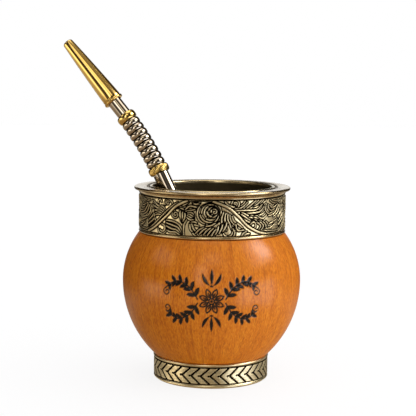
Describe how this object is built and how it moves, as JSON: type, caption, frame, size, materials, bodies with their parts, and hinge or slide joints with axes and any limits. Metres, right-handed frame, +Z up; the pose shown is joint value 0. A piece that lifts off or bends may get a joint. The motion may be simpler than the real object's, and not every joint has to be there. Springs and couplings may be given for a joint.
{
  "type": "mate cup with metal straw",
  "caption": "Turned wooden mate cup with a chased metal collar, metal liner and chevron foot ring, and a metal straw with a ridged grip leaning out of it.",
  "frame": {"origin": "middle of the flat underside, on the surface the cup stands on", "axes": "+Z up the cup's own axis; the side with the engraved ornament faces -Y; the straw leans towards -X"},
  "size_m": [0.1233, 0.0906, 0.1719],
  "materials": {
    "varnished_wood": "honey-orange hardwood under a satin varnish, with fine upright grain",
    "liner_metal": "spun metal, lightly tarnished",
    "antique_brass": "chased brass with blackened recesses and polished high spots",
    "polished_steel": "polished stainless steel",
    "gold_plate": "polished gold-coloured plate"
  },
  "bodies": {
    "root": {"wood_cup": "varnished_wood", "liner": "liner_metal", "collar": "antique_brass", "foot_ring": "antique_brass", "straw_tube": "polished_steel", "straw_grip": "polished_steel", "straw_ring_lower": "gold_plate", "straw_ring_upper": "gold_plate", "straw_mouthpiece": "gold_plate"}
  },
  "joints": []
}
